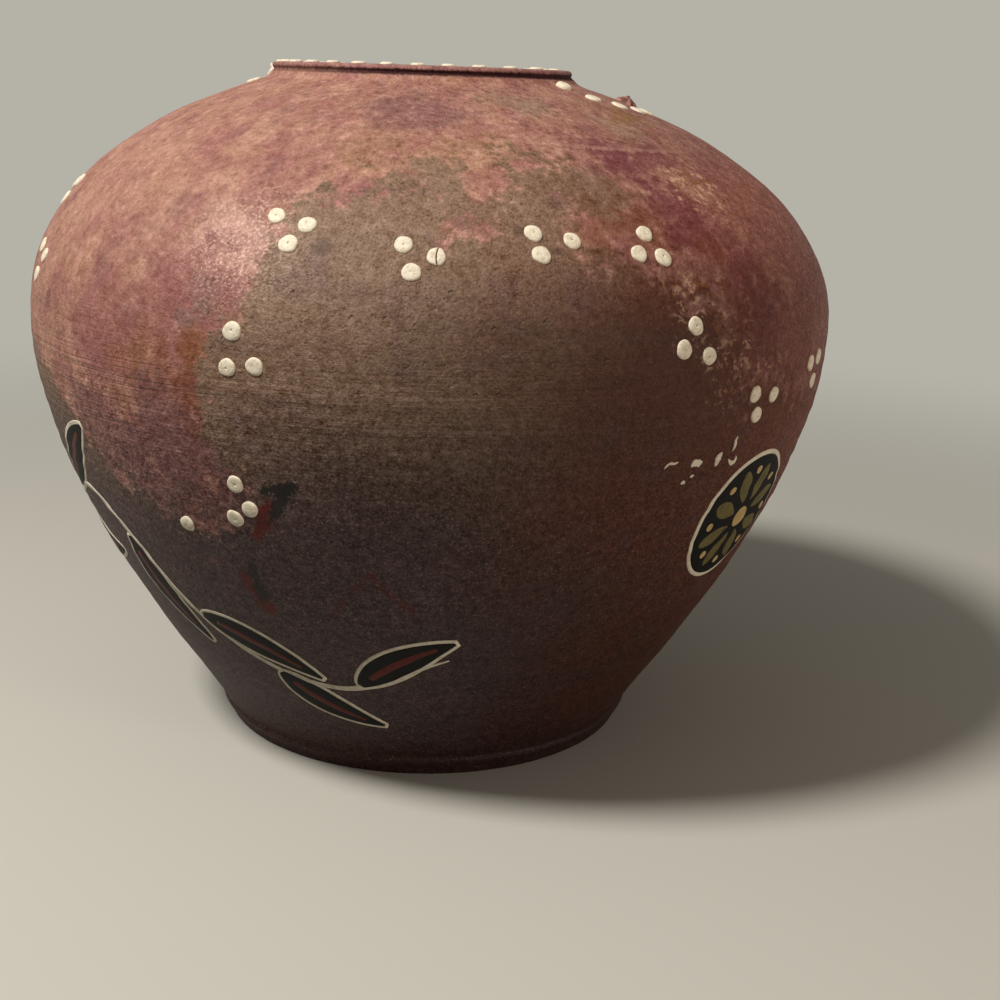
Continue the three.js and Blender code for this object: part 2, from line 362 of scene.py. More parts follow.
class Shade:
    """An output socket of a material, or the material itself. Arithmetic on shades adds
    Math nodes."""

    def __init__(self, tree, socket=None):
        self.tree = tree
        self.socket = socket

    def node(self, kind, settings, inputs, output=0):
        """A node of a kind: its settings first, then its sockets' values or links."""
        made = self.tree.nodes.new(kind)
        for name, value in settings.items():
            if name == "stops":
                ramp = made.color_ramp
                while len(ramp.elements) < len(value):
                    ramp.elements.new(1)
                for element, (place, colour) in zip(ramp.elements, value):
                    element.position = place
                    element.color = (*colour, 1)
            else:
                setattr(made, name, value)
        for key, value in inputs.items():
            if isinstance(value, Shade):
                self.tree.links.new(value.socket, made.inputs[key])
            elif isinstance(value, tuple) and len(value) == 3 and made.inputs[key].type == "RGBA":
                made.inputs[key].default_value = (*value, 1)
            else:
                made.inputs[key].default_value = value
        return Shade(self.tree, made.outputs[output])

    def math(self, operation, first, second=0.0):
        return self.node("ShaderNodeMath", {"operation": operation}, {0: first, 1: second})

    def __add__(self, other):
        return self.math("ADD", self, other)

    def __radd__(self, other):
        return self.math("ADD", other, self)

    def __sub__(self, other):
        return self.math("SUBTRACT", self, other)

    def __rsub__(self, other):
        return self.math("SUBTRACT", other, self)

    def __mul__(self, other):
        return self.math("MULTIPLY", self, other)

    def __rmul__(self, other):
        return self.math("MULTIPLY", other, self)

    def __pow__(self, other):
        return self.math("POWER", self, other)

    def between(self, low, high):
        """0 below low, 1 above high, and a smooth step from one to the other."""
        return self.node(
            "ShaderNodeMapRange",
            {"interpolation_type": "SMOOTHSTEP"},
            {"Value": self, "From Min": low, "From Max": high},
        )

    def larger(self, other):
        return self.math("MAXIMUM", self, other)

    def smaller(self, other):
        return self.math("MINIMUM", self, other)

    def __abs__(self):
        return self.math("ABSOLUTE", self)


def srgb(red, green, blue):
    """A colour from its screen values, 0 to 255, as the light it stands for."""
    return tuple(
        (c / 255 / 12.92) if c <= 10 else ((c / 255 + 0.055) / 1.055) ** 2.4
        for c in (red, green, blue)
    )


def paint(name, colour, roughness):
    """A new material with a plain coloured surface, the shade that adds to it, and its
    position on the piece in mm."""
    material = bpy.data.materials.new(name)
    material.use_nodes = True
    shade = Shade(material.node_tree)
    surface = material.node_tree.nodes["Principled BSDF"]
    surface.inputs["Base Color"].default_value = (*colour, 1)
    surface.inputs["Roughness"].default_value = roughness
    place = shade.node("ShaderNodeTexCoord", {}, {}, "Object")
    in_mm = shade.node(
        "ShaderNodeVectorMath",
        {"operation": "MULTIPLY"},
        {0: place, 1: (1000, 1000, 1000)},
    )
    return material, shade, surface, in_mm


def connect(shade, value, socket):
    shade.tree.links.new(value.socket, socket)


def noise(shade, place, size, detail=2.0, stretch=(1, 1, 1), shift=(0, 0, 0), sharp=0.5):
    """Cloudy noise with spots of a size in mm, drawn out by a stretch on each axis."""
    spots = shade.node(
        "ShaderNodeMapping",
        {},
        {"Vector": place, "Location": shift, "Scale": tuple(1 / (size * s) for s in stretch)},
    )
    return shade.node(
        "ShaderNodeTexNoise",
        {},
        {"Vector": spots, "Scale": 1.0, "Detail": detail, "Roughness": sharp},
        0,
    )


def blend(shade, first, second, mask):
    """Two colours or shades mixed: the first where the mask is 0, the second where it is 1."""
    return shade.node("ShaderNodeMix", {"data_type": "RGBA"}, {0: mask, 6: first, 7: second}, 2)


def length_at(level):
    """The distance along the outline at a level of the wall."""
    wall = slice(len(foot_side) - 1, len(outline) - len(lip))
    return np.interp(level, outline[wall, 1], outline_along[wall])


def near_point(shade, place, azimuth, level):
    """How far in mm a spot on the piece is from a point of the wall."""
    centre = tuple(on_wall(azimuth, length_at(level)))
    return shade.node("ShaderNodeVectorMath", {"operation": "DISTANCE"}, {0: place, 1: centre}, 1)


def near_line(shade, place, start, end):
    """How far in mm a spot on the piece is from a straight stroke between two points of the
    wall: the gap to the nearest point of the stroke, found by a dot product."""
    first = on_wall(start[0], length_at(start[1]))
    side = on_wall(end[0], length_at(end[1])) - first
    away = shade.node(
        "ShaderNodeVectorMath",
        {"operation": "SUBTRACT"},
        {0: place, 1: tuple(first)},
    )
    share = shade.node(
        "ShaderNodeVectorMath",
        {"operation": "DOT_PRODUCT"},
        {0: away, 1: tuple(side / (side @ side))},
        1,
    )
    share = share.larger(0).smaller(1)
    nearest = shade.node("ShaderNodeCombineXYZ", {}, {"X": share, "Y": share, "Z": share})
    nearest = shade.node(
        "ShaderNodeVectorMath",
        {"operation": "MULTIPLY"},
        {0: nearest, 1: tuple(side)},
    )
    return shade.node("ShaderNodeVectorMath", {"operation": "DISTANCE"}, {0: away, 1: nearest}, 1)


ROSE = (150, 92, 90)
PINK = (204, 158, 146)
SALMON = (183, 135, 117)
OCHRE = (164, 122, 94)
GREY = (134, 116, 110)
GOLD = (158, 114, 70)
MAUVE = (122, 78, 82)
PLUM = (118, 52, 68)
DEEP_PLUM = (94, 38, 50)
RUST = (132, 76, 56)
OLIVE = (124, 96, 80)
CREAM = (204, 160, 130)
MAROON = (88, 18, 14)
BLACK = (8, 4, 3)

# The patches of the wash that show at the front: azimuth, level, radius in mm, colour, strength
PATCHES = [
    (-53, 108, 15, SALMON, 0.6),
    (-66, 94, 11, SALMON, 0.5),
    # The pale pink patch below is a painted highlight, where the lamp's shine falls on the shoulder
    (-26, 99, 9, PINK, 0.55),
    (-30, 90, 12, ROSE, 0.85),
    (-44, 84, 10, ROSE, 0.8),
    (-36, 80, 8, (150, 96, 66), 0.55),
    (-30, 88, 3.6, GREY, 0.45),
    (-28.5, 92.5, 3.2, GREY, 0.25),
    (-32, 69, 13, MAUVE, 0.85),
    (-46, 66, 9, MAUVE, 0.7),
    (-38, 58, 8, MAUVE, 0.8),
    (-28.5, 77.5, 7, RUST, 0.8),
    (-29.5, 84, 4, (144, 86, 56), 0.75),
    (-29, 58, 7, (104, 62, 62), 0.85),
    (-24, 60, 6, MAUVE, 0.8),
    (-8, 113, 9, OCHRE, 0.6),
    (8, 113, 8, OCHRE, 0.55),
    (-2, 119, 9, MAUVE, 0.7),
    (24, 121, 6, (150, 122, 104), 0.7),
    (5, 104.5, 4, (130, 80, 82), 0.8),
    (0, 109, 6, OLIVE, 0.8),
    (26, 108, 7, OLIVE, 0.8),
    (30, 103, 5, RUST, 0.7),
    (22, 102, 4, RUST, 0.6),
    (0, 103, 4, RUST, 0.6),
    (33, 113, 7, PLUM, 0.8),
    (44, 113, 5, PLUM, 0.6),
    (39, 104, 8, PLUM, 0.85),
    (43, 95, 7, PLUM, 0.6),
    (40, 99, 4, RUST, 0.7),
    (46, 92, 7, DEEP_PLUM, 0.85),
    (46, 86, 9, DEEP_PLUM, 0.7),
    (42, 87, 6, (108, 46, 30), 0.9),
    (44, 117, 6, (164, 130, 110), 0.6),
    (56, 84, 8, RUST, 0.5),
    (62, 96, 10, ROSE, 0.5),
    (45, 108, 4.5, CREAM, 0.5),
    (54, 119, 6, GOLD, 0.85),
]
BACK_PATCHES = 18
CLAY_PITS = [
    (12.8, 89.8, 0.9),
    (6.7, 88.8, 0.6),
    (-3.0, 83.0, 0.4),
    (-5.5, 90.0, 0.5),
    (-9.4, 89.8, 0.7),
    (4.7, 79.2, 0.3),
    (7.3, 79.3, 0.3),
    (-16.5, 93.0, 0.4),
    (2.0, 94.0, 0.3),
    (20.0, 84.0, 0.4),
]


def unseen_patches():
    """Patches for the side that the photo doesn't show, drawn from the same colours."""
    draw = np.random.default_rng(11)
    tints = [ROSE, SALMON, OCHRE, MAUVE, PLUM, RUST, OLIVE, PINK]
    for number in range(BACK_PATCHES):
        azimuth = 80 + (number + draw.uniform(0, 1)) * 205 / BACK_PATCHES
        tint = tints[draw.integers(len(tints))]
        yield azimuth, draw.uniform(84, 120), draw.uniform(6, 13), tint, draw.uniform(0.4, 0.8)


def clay_finish():
    """Unglazed clay: taupe, grey and red-brown body with grit, pits and throwing lines, and
    over its upper half the sponged wash in rose, salmon, gold, plum and rust."""
    material, shade, surface, place = paint("clay", srgb(118, 94, 82), 0.7)
    level = shade.node("ShaderNodeSeparateXYZ", {}, {"Vector": place}, "Z")
    sideways = shade.node("ShaderNodeSeparateXYZ", {}, {"Vector": place}, "X")
    spread = shade.node("ShaderNodeAttribute", {"attribute_name": "spread"}, {}, "Vector")
    broad = noise(shade, place, 30, 2)
    patch = noise(shade, spread, 7.5, 3, (1, 1, 1.1), shift=(7, 3, 1), sharp=0.6)
    second_patch = noise(shade, spread, 6, 3, (1, 1, 1.1), shift=(-5, 9, 4), sharp=0.6)
    blotch = noise(shade, spread, 3.0, 3, (1.1, 1.1, 1), shift=(2, 5, 9), sharp=0.6)
    mottle = noise(shade, spread, 1.3, 3, (1.1, 1.1, 1), shift=(1, 8, 2), sharp=0.6)
    fine = noise(shade, spread, 0.5, 2, (1.1, 1.1, 1), shift=(6, 2, 3), sharp=0.6)
    grain = noise(shade, place, 0.8, 3, shift=(3, 1, 6), sharp=0.6)
    grit = noise(shade, place, 0.36, 2, sharp=0.6)
    lines = noise(shade, place, 0.8, 3, stretch=(34, 34, 1), sharp=0.6)
    bands = noise(shade, place, 5.0, 2, stretch=(18, 18, 1), shift=(4, 4, 4))

    # The bare body: taupe, greyer and darker below, red-brown at the right and on the foot
    low_down = (level + broad * 24 - 12).between(84, 50)
    ground = blend(shade, srgb(141, 113, 94), srgb(74, 56, 57), low_down)
    to_right = (sideways + broad * 40 - 20).between(2, 40)
    ground = blend(shade, ground, srgb(110, 50, 27), to_right * 0.92)
    ground = blend(shade, ground, srgb(152, 76, 50), sideways.between(46, 72) * 0.55)
    ground = blend(shade, ground, srgb(104, 74, 80), patch.between(0.54, 0.66) * 0.3)
    at_foot = (level + bands * 10 - 5 + (broad - 0.5) * 12).between(13, 3)
    ground = blend(shade, ground, srgb(62, 28, 20), at_foot * 0.85)
    ground = blend(shade, ground, srgb(64, 47, 42), bands.between(0.52, 0.75) * 0.3)
    ground = blend(shade, ground, srgb(172, 140, 118), grit.between(0.56, 0.72) * 0.3)
    ground = blend(shade, ground, srgb(52, 38, 32), grit.between(0.42, 0.28) * 0.5)
    # Painted highlight: pale specks in the grit round the spot high on the left of the shoulder where the lamp's shine
    # falls
    shining = near_point(shade, place, -24, 99)
    painted_glints = fine.between(0.52, 0.62) * (shining + (blotch - 0.5) * 10).between(14, 4)
    ground = blend(shade, ground, srgb(206, 172, 144), painted_glints * 0.4)

    # The wash, sponged on in patches one over another
    tint = blend(shade, srgb(*SALMON), srgb(*ROSE), patch.between(0.36, 0.64) * 0.7)
    tint = blend(shade, tint, srgb(*OCHRE), second_patch.between(0.52, 0.66) * 0.45)
    tint = blend(shade, tint, srgb(*MAUVE), second_patch.between(0.46, 0.34) * 0.4)
    for azimuth, height, size, colour, strength in PATCHES + list(unseen_patches()):
        gap = near_point(shade, place, azimuth, height)
        gap = gap + (patch - 0.5) * (size * 2.2) + (blotch - 0.5) * (size * 1.6)
        tint = blend(shade, tint, srgb(*colour), gap.between(size * 1.15, size * 0.45) * strength)
    right_side = sideways.between(20, 66) * level.between(124, 106)
    tint = blend(shade, tint, srgb(150, 70, 54), right_side * 0.6)
    at_lip = level.between(125.1, 125.5)
    tint = blend(shade, tint, srgb(152, 106, 106), at_lip * 0.7)
    speck = mottle * 0.7 + blotch * 0.3
    tint = blend(shade, tint, srgb(*CREAM), speck.between(0.53, 0.68) * 0.18)
    tint = blend(shade, tint, srgb(110, 66, 62), speck.between(0.46, 0.32) * 0.15)
    # Painted highlight: the same specks, paler and pinker, in the wash
    tint = blend(shade, tint, srgb(236, 194, 178), painted_glints * 0.35)

    reach = shade.node("ShaderNodeAttribute", {"attribute_name": "wash"}, {}, "Fac")
    ragged = reach + (blotch - 0.5) * 6.0 + (mottle - 0.5) * 3.0 + (patch - 0.5) * 5
    mask = ragged.between(-0.6, 0.9).larger(level.between(114, 118))
    thin = 0.88 + (grit - 0.5) * 0.3 + (blotch - 0.5) * 0.5 - level.between(72, 52) * 0.3
    finish = blend(shade, ground, tint, mask * thin.smaller(1))

    # Flecks of dry cream and ochre where the wash stops on the right
    edge_band = ragged.between(-2.6, -0.6) * ragged.between(3.4, 1.0)
    near_edge = near_point(shade, place, 39, 88).between(19, 9) * edge_band
    near_crest = near_point(shade, place, 45, 108).between(9, 4)
    curls = noise(shade, place, 1.0, 2, stretch=(1.3, 1.3, 1), shift=(9, 2, 7), sharp=0.6)
    flecks = curls.between(0.54, 0.58) * near_edge.larger(near_crest)
    fleck_colour = blend(shade, srgb(158, 98, 66), srgb(214, 168, 138), blotch.between(0.42, 0.56))
    finish = blend(shade, finish, fleck_colour, flecks * 0.85)

    # A pale ring that the wheel left on the right of the shoulder
    ring = abs(level + sideways * 0.055 - 115.7 + (mottle - 0.5) * 1.2)
    ring = ring.between(0.4, 0.1) * near_point(shade, place, 36, 114).between(22, 12)
    finish = blend(shade, finish, srgb(190, 146, 130), ring * 0.45)

    # Dark plum in the crease under the lip, stronger to the right: partly plum paint that has run into it, partly
    # painted shade of the crease
    crease = (level + (mottle - 0.5) * 0.4).between(125.75, 125.45)
    crease = crease * (level + (mottle - 0.5) * 0.6).between(124.45, 124.85)
    along_lip = (sideways + (blotch - 0.5) * 12).between(-34, -8)
    crease = crease * (0.35 + along_lip * 0.6)
    finish = blend(shade, finish, srgb(46, 12, 20), crease)

    # The body and the wash are darker from the middle to the right and towards the bottom, partly
    # their own darker colour and partly painted shade on the side away from the lamp; and the colour
    # lies lighter and darker in specks all over, half by strength and half by a grey added, so that
    # the specks keep their hue
    darker_right_and_shade = sideways.between(-35, 32) * 0.57 - sideways.between(36, 64) * 0.12
    darker_right_and_shade = darker_right_and_shade * level.between(104, 87) + sideways.between(8, 44) * level.between(87, 104) * 0.2
    bare = 1 - mask
    uneven = ((mottle - 0.5) * 1.4 + (fine - 0.5) * 1.2) * (1 + low_down * 1.5)
    uneven = uneven + (blotch - 0.5) * (0.8 - low_down * 0.5)
    uneven = uneven * (1 - near_point(shade, place, -48, 108).between(45, 20) * 0.3)
    uneven = uneven + (grit - 0.5) * (bare * 0.7 + low_down * 2.4)
    lightness = shade.node("ShaderNodeRGBToBW", {}, {"Color": finish})
    finish = shade.node(
        "ShaderNodeVectorMath",
        {"operation": "MULTIPLY_ADD"},
        {0: finish, 1: 1 + uneven * 0.5, 2: lightness * uneven * 0.5},
    )
    finish = shade.node(
        "ShaderNodeVectorMath", {"operation": "SCALE"}, {0: finish, "Scale": 1 - darker_right_and_shade - level.between(56, 28) * 0.15}
    )

    # Two drips of black and maroon paint, a faint bent line, and a thin smear by a dot
    wander = (grain - 0.5) * 1.3 + (grit - 0.5) * 2.2

    def stroke(start, end, width, colour, strength, under, soft=0.25):
        gap = near_line(shade, place, start, end) + wander * min(1, width + 0.2)
        mask = gap.between(width + soft, width - soft)
        return blend(shade, under, srgb(*colour), mask * strength)

    finish = stroke((-20.2, 59.4), (-22.7, 53.4), 1.0, MAROON, 0.85, finish, 0.3)
    finish = stroke((-20.5, 58.0), (-21.4, 55.6), 1.5, MAROON, 0.75, finish, 0.4)
    finish = stroke((-20.5, 61.8), (-16.5, 63.4), 0.7, BLACK, 0.95, finish, 0.25)
    finish = stroke((-18.4, 62.0), (-17.3, 62.4), 1.1, BLACK, 0.95, finish, 0.25)
    finish = stroke((-18.0, 61.4), (-19.6, 58.0), 1.1, BLACK, 0.9, finish, 0.3)
    finish = stroke((-19.6, 58.0), (-20.7, 56.0), 0.4, BLACK, 0.8, finish, 0.3)
    finish = stroke((-26.6, 44.2), (-24.4, 38.8), 1.4, MAROON, 0.8, finish, 0.4)
    finish = stroke((-25.1, 46.8), (-25.0, 40.6), 0.9, BLACK, 0.85, finish, 0.35)
    finish = stroke((-24.8, 43.0), (-24.2, 41.4), 1.2, BLACK, 0.8, finish, 0.35)
    for start, end in (
        ((-13.6, 39.6), (-12.0, 42.0)),
        ((-10.4, 44.4), (-7.4, 48.0)),
        ((-7.4, 48.0), (-5.0, 43.8)),
        ((-4.0, 42.8), (-1.8, 41.0)),
    ):
        finish = stroke(start, end, 0.55, (74, 16, 14), 0.65, finish, 0.5)
    finish = stroke((-21.4, 87.2), (-19.8, 87.0), 0.12, (190, 166, 140), 0.45, finish, 0.08)
    finish = stroke((-34.0, 126.0), (-33.2, 124.2), 0.26, (206, 160, 152), 0.75, finish, 0.15)

    # Small pits, darker than the clay round them, and dirt beside some dots
    dents = 0 * grit
    for azimuth, height, size in CLAY_PITS:
        gap = near_line(shade, place, (azimuth, height), (azimuth + 0.3, height + size * 0.6))
        dents = dents.larger((gap + (grit - 0.5) * 0.4).between(0.3, 0.02))
    finish = blend(shade, finish, srgb(54, 40, 33), dents * 0.5)
    for azimuth, height, size in ((11.3, 102.5, 1.4), (15.6, 99.6, 1.2), (-13.5, 99.6, 2.2)):
        gap = near_point(shade, place, azimuth, height) + (grain - 0.5) * size * 2
        finish = blend(shade, finish, srgb(66, 48, 32), gap.between(size, size * 0.4) * 0.5)

    hollow = shade.node("ShaderNodeAttribute", {"attribute_name": "hollow"}, {}, "Fac")
    finish = blend(shade, finish, srgb(104, 74, 58), hollow)
    connect(shade, finish, surface.inputs["Base Color"])
    shine = 0.6 - fine.between(0.5, 0.66) * 0.22 * mask + (grain - 0.5) * 0.2
    shine = shine - shining.between(17, 5) * 0.12 + level.between(101, 109) * 0.1 + crease * 0.3
    connect(shade, shine, surface.inputs["Roughness"])
    surface.inputs["Specular IOR Level"].default_value = 0.26
    pits = noise(shade, place, 1.7, 2, shift=(5, 5, 1), sharp=0.7)
    halfway = level.between(50, 60) * level.between(92, 76)
    at_left = sideways.between(-30, -52) * level.between(62, 68) * level.between(96, 84)
    lined = lines * (0.2 + halfway * 0.9) * (1 - mask * 0.5 + at_left)
    relief = grit * 0.5 + grain * (0.35 + bare * 0.4) + fine * 0.5 + mottle * 0.5 + lined
    relief = relief - pits.between(0.6, 0.8) * 0.7 - dents * 0.9
    bump = shade.node(
        "ShaderNodeBump",
        {},
        {"Strength": 1.0, "Distance": 0.00022, "Height": relief},
        "Normal",
    )
    connect(shade, bump, surface.inputs["Normal"])
    return material


jar.data.materials.append(clay_finish())
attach(jar, "root")
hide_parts("vessel")


# The dots in threes
# Blobs of thick cream paint set down one by one along the edge of the wash. Each dried with a
# flat top, a round edge and a pinprick where the brush came away. One has cracked in two.

DOT_RADIUS = 1.5
DOT_HEIGHT = 0.36
DOT_ROOT = 0.15
DOT_RINGS = (0.03, 0.07, 0.11, 0.16, 0.26, 0.42, 0.6, 0.75, 0.86, 0.93, 0.975, 1.0)
DOT_SPOKES = 36
CRACKED_DOT = "trio_06_dot_b"
CRACK_WIDTH = 0.1
CRACK_RINGS = tuple(np.linspace(0.03, 1, 32))
CRACK_SPOKES = 110


def blob(radius, height, seed, cracked=False):
    """A dot as rings and spokes, in mm to the right, along the wall and out of it, and how
    dark each point is: dark in the pinprick, and painted shade in the crack. Its section is
    flat-topped, (1 - f^5)^0.5 at a share f of the way out, with a pinprick in the middle. Small
    waves run round its outline."""
    draw = np.random.default_rng(seed)
    phase = draw.uniform(0, 2 * np.pi, 3)
    spokes = CRACK_SPOKES if cracked else DOT_SPOKES
    spoke = np.arange(spokes) * 2 * np.pi / spokes
    share = np.array(CRACK_RINGS if cracked else DOT_RINGS)[:, None]
    waves = 0.035 * np.cos(2 * spoke + phase[0]) + 0.024 * np.cos(3 * spoke + phase[1])
    waves = waves + 0.016 * np.cos(5 * spoke + phase[2])
    out = radius * draw.uniform(0.94, 1.04) * share * (1 + waves * share**2)
    pin = draw.uniform(-0.16, 0.16, 2) * (1 - share**2)
    right = out * np.cos(spoke) + pin[:, :1]
    up = out * np.sin(spoke) + pin[:, 1:]
    dark = np.exp(-((out / 0.15) ** 2)) * draw.uniform(0.15, 0.9)
    dish = 0.06 * np.cos(spoke + phase[0]) * share + 0.05 * share**2
    lift = height * ((1 - share**5) ** 0.5 + dish * (1 - share)) - 0.2 * dark
    # The crack is cut down into the dot and darkened there as painted shade
    if cracked:
        split = right - 0.1 * up - 0.13 * up**2 + 0.02
        cut = np.exp(-((split / CRACK_WIDTH) ** 2))
        lift = lift - (height + 0.1) * cut
        dark = np.maximum(dark, cut)
    right, up, dark = (np.concatenate([grid, grid[-1:]]) for grid in (right, up, dark))
    lift = np.concatenate([lift, np.full((1, spokes), -DOT_ROOT)])
    return right, up, lift, dark


def set_on_wall(azimuth, along, right, up, lift):
    """A ring-and-spoke form laid on the wall round a point, and the faces that close it."""
    radius = np.interp(along, outline_along, outline[:, 0])
    ring = on_wall(azimuth + np.degrees(right / radius), along + up, lift)
    middle = (right[0].mean(), up[0].mean())
    ends = [
        on_wall(azimuth + np.degrees(middle[0] / radius), along + middle[1], lift[0].mean()),
        on_wall(azimuth + np.degrees(middle[0] / radius), along + middle[1], lift[-1].mean()),
    ]
    rings, spokes = right.shape
    faces = [
        ring_faces(rings, spokes)[:, ::-1],
        cap_faces(0, spokes, rings * spokes, inward=True),
        cap_faces(rings - 1, spokes, rings * spokes + 1),
    ]
    return np.concatenate([ring.reshape(-1, 3), ends]), faces


def spot_of(node):
    """A CAD dot's azimuth and its distance along the outline, from the middle of its box."""
    low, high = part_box(node)
    x, y, level = np.array(low + high) / 2 / MM
    x = x - drift(level)
    nearest = np.argmin((outline[:, 0] - np.hypot(x, y)) ** 2 + (outline[:, 1] - level) ** 2)
    return np.degrees(np.arctan2(x, -y)), outline_along[nearest]


def cream_finish():
    """Chalky cream paint, a little yellower in spots, dark in the pinprick, painted shade in the
    crack, and a fine orange-peel surface."""
    material, shade, surface, place = paint("cream_dot_paint", srgb(232, 221, 198), 0.5)
    spots = noise(shade, place, 0.7, 3)
    peel = noise(shade, place, 0.25, 2)
    warm = blend(shade, srgb(247, 238, 216), srgb(222, 206, 178), spots.between(0.42, 0.72))
    warm = blend(shade, warm, srgb(150, 128, 100), peel.between(0.66, 0.74) * 0.5)
    # Dark in the pinprick, and painted shade in the crack
    dark = shade.node("ShaderNodeAttribute", {"attribute_name": "dark"}, {}, "Fac")
    warm = blend(shade, warm, srgb(34, 26, 20), dark.between(0.25, 0.8))
    connect(shade, warm, surface.inputs["Base Color"])
    connect(shade, 0.5 + peel * 0.2, surface.inputs["Roughness"])
    bump = shade.node(
        "ShaderNodeBump",
        {},
        {"Strength": 0.8, "Distance": 0.00007, "Height": peel + spots * 0.6},
        "Normal",
    )
    connect(shade, bump, surface.inputs["Normal"])
    return material


cream = cream_finish()


def set_dot(name, azimuth, along, radius, height, seed, cracked=False):
    """A cream dot on the wall as a piece that rides with the jar."""
    right, up, lift, dark = blob(radius, height, seed, cracked)
    dot = put_mesh(name, *set_on_wall(azimuth, along, right, up, lift))
    darkness = np.concatenate([dark.ravel(), [dark[0].mean(), 0]]).astype(np.float32)
    dot.data.attributes.new("dark", "FLOAT", "POINT").data.foreach_set("value", darkness)
    dot.data.materials.append(cream)
    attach(dot, "root")
    return dot


dot_nodes = [s["node"] for s in frame["record"]["subparts"] if s["material_slot"] == "dot_paint"]
for number, node in enumerate(dot_nodes):
    cracked = node == CRACKED_DOT
    dot = set_dot(node + "_paint", *spot_of(node), DOT_RADIUS, DOT_HEIGHT, number, cracked)
    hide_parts(node)


# The dots of the mouth
# Smaller dots run round the top of the lip with a gap at the right. Two short rows run down
# from it over the neck, one on each side, and each starts against the side of the lip.

RIM_DOT_RADIUS = 1.25
RIM_DOT_HEIGHT = 0.36
RIM_ROW_START = 103.75
RIM_ROW_STEP = 11.6
RIM_ROW_LOOSENING = 0.75
RIM_ROW_RADIUS = 26.0
RIM_DOTS = 27
NECK_ROWS = {
    "right": [(56, 1.008), (57, 0.921), (64.5, 0.873), (72, 0.842), (79, 0.828)],
    "left": [(-86, 1.045), (-84, 0.98)],
}
NECK_DOT_HEIGHTS = {"right": [0.8, 0.45, 0.4, 0.4, 0.4], "left": [0.45, 0.4]}

lip_top = (outline[:, 1] > TOP_LEVEL - 0.2) & (outline[:, 0] < LIP_RADIUS - 0.5)
rim_along = np.interp(-RIM_ROW_RADIUS, -outline[lip_top, 0], outline_along[lip_top])
for number in range(RIM_DOTS):
    azimuth = RIM_ROW_START + RIM_ROW_STEP * number
    azimuth += RIM_ROW_LOOSENING * max(0, number - RIM_DOTS + 4) ** 2
    name = f"rim_dot_{number + 1:02d}"
    set_dot(name, azimuth, rim_along, RIM_DOT_RADIUS, RIM_DOT_HEIGHT, 100 + number)

belly_along = length_at(BELLY_LEVEL)
for side, spots in NECK_ROWS.items():
    for number, (azimuth, share) in enumerate(spots):
        along = belly_along + share * (NECK_ALONG - belly_along)
        height = NECK_DOT_HEIGHTS[side][number]
        set_dot(f"neck_dot_{side}_{number + 1}", azimuth, along, DOT_RADIUS, height, 200 + number)


# The flaked dots
# At the right, above the rosette, three dots have flaked away and left thin cream and
# pinkish scraps on the wall.

FLAKES = [
    ("hook", 31.3, 66.0, [(-1.4, -0.5), (-0.9, 0.1), (-0.2, 0.35), (0.6, 0.25), (1.3, 0.5)], 0.22),
    ("long", 35.7, 65.5, [(-1.3, -0.2), (-0.4, 0.25), (0.5, 0.1), (1.2, 0.3)], 0.62),
    ("kite", 39.6, 65.6, [(-0.3, -1.2), (0.0, -0.2), (0.15, 0.6), (0.5, 1.3)], 0.6),
    ("claw", 42.6, 64.6, [(-1.0, 0.6), (-0.3, -0.1), (0.5, -0.3), (1.1, 0.2), (1.0, 0.9)], 0.34),
    ("splinter", 42.2, 67.9, [(-0.1, -1.4), (0.15, -0.4), (0.0, 0.6), (0.3, 1.3)], 0.26),
    ("crumb_left", 34.2, 62.3, [(-0.5, 0.0), (0.0, 0.15), (0.4, 0.0)], 0.3),
    ("crumb_right", 35.4, 63.4, [(-0.4, -0.1), (0.0, 0.0), (0.4, 0.2)], 0.26),
]
STROKE_ROUND = 14


def smooth_path(points, count):
    """Points strung evenly along a curve through some points: each stretch is a cubic whose
    slope at an inner point is half the way from the point before to the point after."""
    points = np.array(points, float)
    padded = np.concatenate([2 * points[:1] - points[1:2], points, 2 * points[-1:] - points[-2:-1]])
    t = np.linspace(0, 1, 24, endpoint=False)[:, None]
    pieces = []
    for before, start, end, after in zip(padded, padded[1:], padded[2:], padded[3:]):
        slope_in = (end - before) / 2
        slope_out = (after - start) / 2
        pieces.append(
            (2 * t**3 - 3 * t**2 + 1) * start
            + (t**3 - 2 * t**2 + t) * slope_in
            + (3 * t**2 - 2 * t**3) * end
            + (t**3 - t**2) * slope_out
        )
    dense = np.concatenate(pieces + [points[-1:]])
    along = distance_along(dense)
    even = np.linspace(0, along[-1], count)
    return np.stack([np.interp(even, along, dense[:, k]) for k in range(2)], 1)


